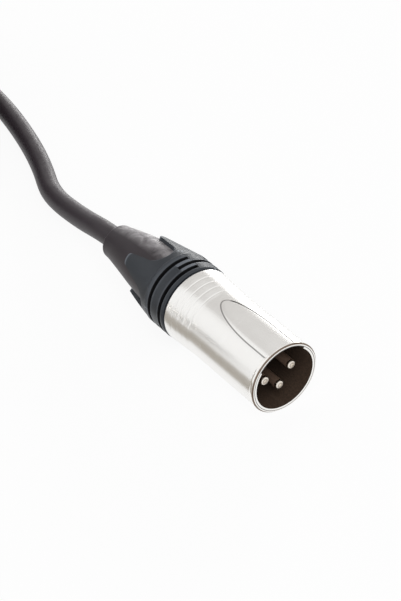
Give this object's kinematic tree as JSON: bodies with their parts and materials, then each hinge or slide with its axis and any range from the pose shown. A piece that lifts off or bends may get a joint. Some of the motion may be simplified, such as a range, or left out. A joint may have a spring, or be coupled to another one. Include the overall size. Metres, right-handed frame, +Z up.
{
  "type": "xlr microphone cable",
  "caption": "Balanced microphone cable with a round pin plug, a pronged clamping collar and boot, a coiled and tied cord, and a latching socket connector.",
  "frame": {"origin": "on the table under the middle of the plug, which lies on its side with its axis level", "axes": "+X along the plug towards its mouth, +Z up, the cord leaves towards -X; the plug's key is turned 8 degrees from straight up"},
  "size_m": [0.2191, 0.0906, 0.0319],
  "materials": {
    "shell": "satin nickel over die-cast zinc, finely turned",
    "insert": "black glass-filled plastic",
    "contact": "silver-plated turned brass",
    "spring_steel": "stamped spring steel",
    "latch": "satin nickel",
    "chuck": "black moulded plastic",
    "collar": "slate-grey hard plastic, low sheen",
    "boot": "soft brownish-black elastomer",
    "jacket": "smooth matte brownish-black cable jacket",
    "tie": "black woven hook-and-loop strap",
    "wire": "insulated stranded wire"
  },
  "bodies": {
    "cable": {"plug_shell": "shell", "plug_insert": "insert", "plug_pin_1": "contact", "plug_pin_2": "contact", "plug_pin_3": "contact", "plug_ground_contact": "spring_steel", "plug_chuck": "chuck", "plug_collar": "collar", "plug_boot": "boot", "plug_wire_1": "wire", "plug_wire_2": "wire", "plug_wire_3": "wire", "socket_shell": "shell", "socket_insert": "insert", "socket_contact_1": "contact", "socket_contact_2": "contact", "socket_contact_3": "contact", "latch_pivot_pin": "spring_steel", "latch_spring": "spring_steel", "socket_ground_contact": "spring_steel", "socket_chuck": "chuck", "socket_collar": "collar", "socket_boot": "boot", "socket_wire_1": "wire", "socket_wire_2": "wire", "socket_wire_3": "wire", "cord_lead": "jacket", "cord_coil": "jacket", "cord_tail": "jacket", "cord_tie": "tie"},
    "latch": {"latch_button": "latch"}
  },
  "joints": [
    {"name": "latch_press", "type": "hinge", "parent": "cable", "child": "latch", "pos_m": [-0.0533, -0.0615, 0.0168], "axis": [0, 1, 0], "range_deg": [0, 4], "stiffness_Nm_per_rad": 0.02, "springref_deg": -2.86, "deforming": ["latch_spring"]}
  ]
}
